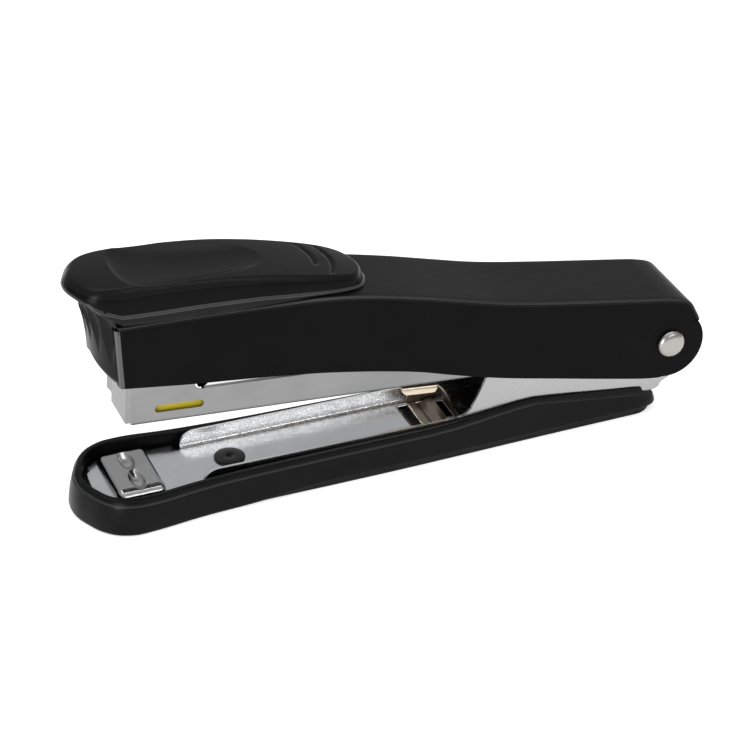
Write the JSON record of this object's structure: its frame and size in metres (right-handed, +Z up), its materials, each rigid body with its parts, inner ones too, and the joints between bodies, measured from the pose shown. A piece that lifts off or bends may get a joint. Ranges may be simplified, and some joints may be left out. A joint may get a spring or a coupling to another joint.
{
  "type": "stapler",
  "caption": "Half-strip desk stapler with a pressed handle, thumb cap, channel magazine with sprung pusher, and a plated tray base with a clinching anvil.",
  "frame": {"origin": "on the resting surface under the middle of the length", "axes": "+X from the nose to the pivot, +Y across the stapler, +Z up"},
  "size_m": [0.1341, 0.0254, 0.0527],
  "materials": {
    "black_plastic": "satin",
    "cap_plastic": "satin",
    "sole_rubber": "matte",
    "black_paint": "satin",
    "chrome_plate": "polished",
    "steel": "brushed",
    "spring_steel": "satin",
    "bronze_leaf": "satin",
    "black_disc": "satin",
    "nickel_rivet": "polished",
    "yellow_plastic": "satin"
  },
  "bodies": {
    "base": {"base_shell": "black_plastic", "base_sole": "sole_rubber", "base_plate": "chrome_plate", "anvil": "chrome_plate", "plate_rivets": "black_disc", "return_spring": "bronze_leaf", "pivot_rivet": "nickel_rivet"},
    "magazine": {"magazine_channel": "steel", "staple_rail": "steel", "guide_rod": "steel", "rod_bracket": "steel", "rail_rivets": "steel", "rear_cover": "steel", "pivot_sleeve": "steel", "pusher_spring": "spring_steel"},
    "pusher": {"pusher": "yellow_plastic"},
    "handle": {"handle_shell": "black_paint", "finger_cap": "cap_plastic", "cap_screws": "steel", "driver_blade": "spring_steel", "blade_rivets": "steel", "handle_spring": "spring_steel"}
  },
  "joints": [
    {"name": "magazine_press", "type": "hinge", "parent": "base", "child": "magazine", "pos_m": [0.0595, 0, 0.0166], "axis": [0, 1, 0], "range_deg": [-6.9, 0], "stiffness_Nm_per_rad": 0.35, "springref_deg": 14.32, "deforming": ["return_spring"]},
    {"name": "handle_pivot", "type": "hinge", "parent": "magazine", "child": "handle", "pos_m": [0.0595, 0, 0.0166], "axis": [0, 1, 0], "range_deg": [-3, 90], "deforming": ["handle_spring"]},
    {"name": "pusher_slide", "type": "slide", "parent": "magazine", "child": "pusher", "axis": [0.9975, 0, -0.071], "range_m": [0, 0.048], "stiffness_N_per_m": 20, "springref_m": -0.05, "deforming": ["pusher_spring"]}
  ]
}
